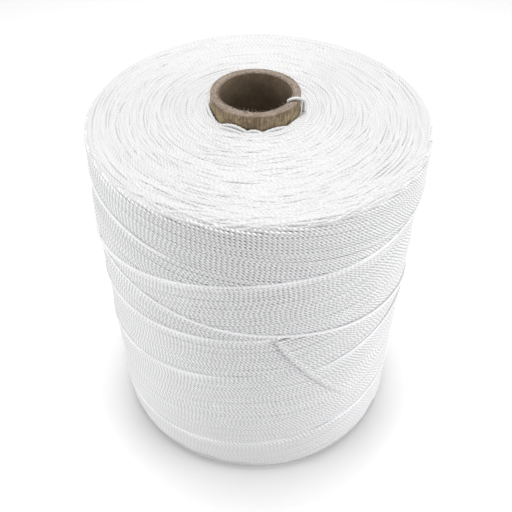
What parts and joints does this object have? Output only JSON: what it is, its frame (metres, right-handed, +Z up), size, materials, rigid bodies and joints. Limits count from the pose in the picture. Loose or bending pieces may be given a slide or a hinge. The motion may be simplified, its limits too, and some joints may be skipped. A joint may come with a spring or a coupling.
{
  "type": "waxed thread spool",
  "caption": "Parallel-sided cross-wound package of white waxed thread on a spiral paperboard tube, standing on its base, with the thread's first end over the tube's rim.",
  "frame": {"origin": "centre of the tube's bore in the plane that the package stands on", "axes": "+Z up along the tube's axis to the rim with the thread's first end; -Y is the front, where the last end is tucked in; +X is the right side, near the first end"},
  "size_m": [0.1236, 0.1236, 0.15],
  "materials": {
    "thread": "white waxed twisted thread, soft sheen",
    "board_liner": "smooth kraft liner",
    "board_body": "cut grey-brown board edge",
    "board_outer": "matt kraft board"
  },
  "bodies": {
    "root": {"tube_liner_ply": "board_liner", "tube_body_plies": "board_body", "tube_outer_ply": "board_outer", "inner_winding": "thread", "outer_winding": "thread", "start_tail": "thread"}
  },
  "joints": []
}
